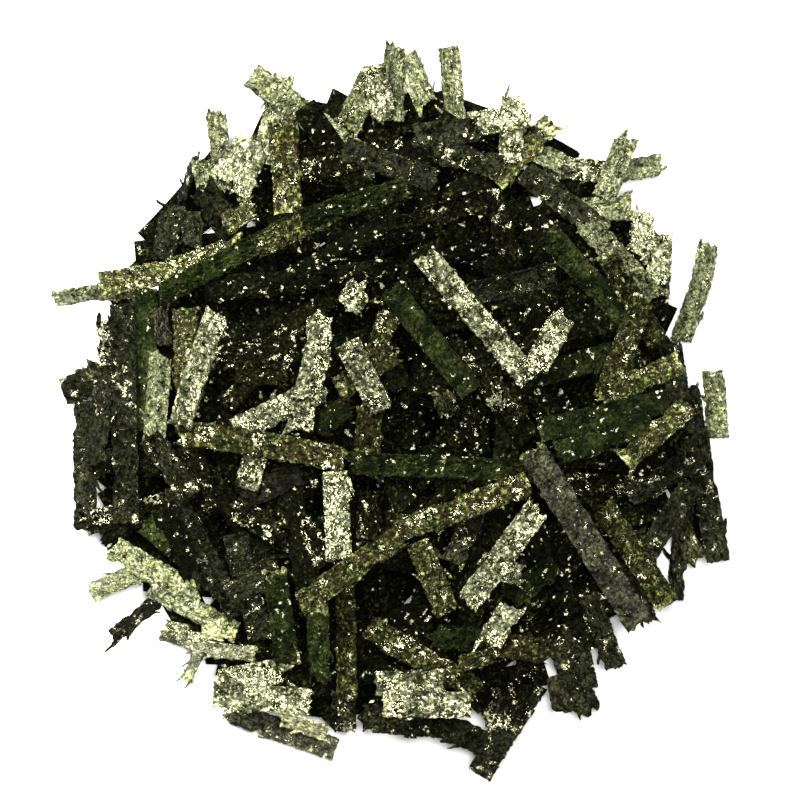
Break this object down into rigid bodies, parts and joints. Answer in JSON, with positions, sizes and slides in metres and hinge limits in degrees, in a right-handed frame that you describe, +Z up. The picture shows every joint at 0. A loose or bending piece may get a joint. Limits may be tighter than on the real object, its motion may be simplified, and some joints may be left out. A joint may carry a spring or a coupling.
{
  "type": "shredded nori",
  "caption": "Loose domed heap of dried seaweed sheet cut into narrow flat shreds, some clinging together in tangles.",
  "frame": {"origin": "middle of the heap's footprint, on the surface it rests on", "axes": "+Z up; +Y towards the far side of the heap as seen from above, its longest extent"},
  "size_m": [0.0882, 0.0964, 0.0247],
  "materials": {
    "nori_brown": "satin",
    "nori_dark": "satin",
    "nori_gloss": "gloss",
    "nori_olive": "satin",
    "nori_plum": "matte",
    "nori_slate": "matte",
    "nori_tangle": "satin"
  },
  "bodies": {
    "root": {"crown_shred_01": "nori_dark", "crown_shred_02": "nori_dark", "crown_shred_03": "nori_gloss", "crown_shred_04": "nori_gloss", "crown_shred_05": "nori_olive", "crown_shred_06": "nori_gloss", "crown_shred_07": "nori_gloss", "crown_shred_08": "nori_brown", "crown_shred_09": "nori_olive", "crown_shred_10": "nori_olive", "crown_shred_11": "nori_gloss", "crown_shred_12": "nori_gloss", "crown_shred_13": "nori_gloss", "crown_shred_14": "nori_olive", "crown_shred_15": "nori_plum", "crown_shred_16": "nori_gloss", "crown_shred_17": "nori_gloss", "crown_shred_18": "nori_gloss", "crown_shred_19": "nori_gloss", "crown_shred_20": "nori_gloss", "crown_shred_21": "nori_gloss", "crown_shred_22": "nori_gloss", "far_band_tangle_01": "nori_tangle", "far_band_tangle_02": "nori_tangle", "far_rim_tangle_01": "nori_tangle", "far_rim_tangle_02": "nori_tangle", "left_rim_tangle_01": "nori_tangle", "left_rim_tangle_02": "nori_tangle", "left_side_shred_01": "nori_dark", "lower_shred_01": "nori_olive", "lower_shred_02": "nori_olive", "lower_shred_03": "nori_olive", "lower_shred_04": "nori_olive", "lower_shred_05": "nori_olive", "lower_tangle_01": "nori_tangle", "lower_tangle_02": "nori_tangle", "lower_tangle_03": "nori_tangle", "lower_tangle_04": "nori_tangle", "lower_tangle_05": "nori_tangle", "lower_tangle_06": "nori_tangle", "lower_tangle_07": "nori_tangle", "lower_tangle_08": "nori_tangle", "lower_tangle_09": "nori_tangle", "middle_tangle_01": "nori_tangle", "near_rim_shred_01": "nori_plum", "near_rim_tangle_01": "nori_tangle", "near_side_shred_01": "nori_dark", "near_side_shred_02": "nori_dark", "near_side_shred_03": "nori_olive", "near_side_shred_04": "nori_olive", "near_side_shred_05": "nori_olive", "near_side_shred_06": "nori_brown", "near_side_shred_07": "nori_gloss", "near_side_shred_08": "nori_gloss", "right_rim_shred_01": "nori_slate", "right_rim_shred_02": "nori_slate", "right_rim_tangle_01": "nori_tangle", "right_rim_tangle_02": "nori_tangle", "right_side_tangle_01": "nori_tangle"}
  },
  "joints": []
}
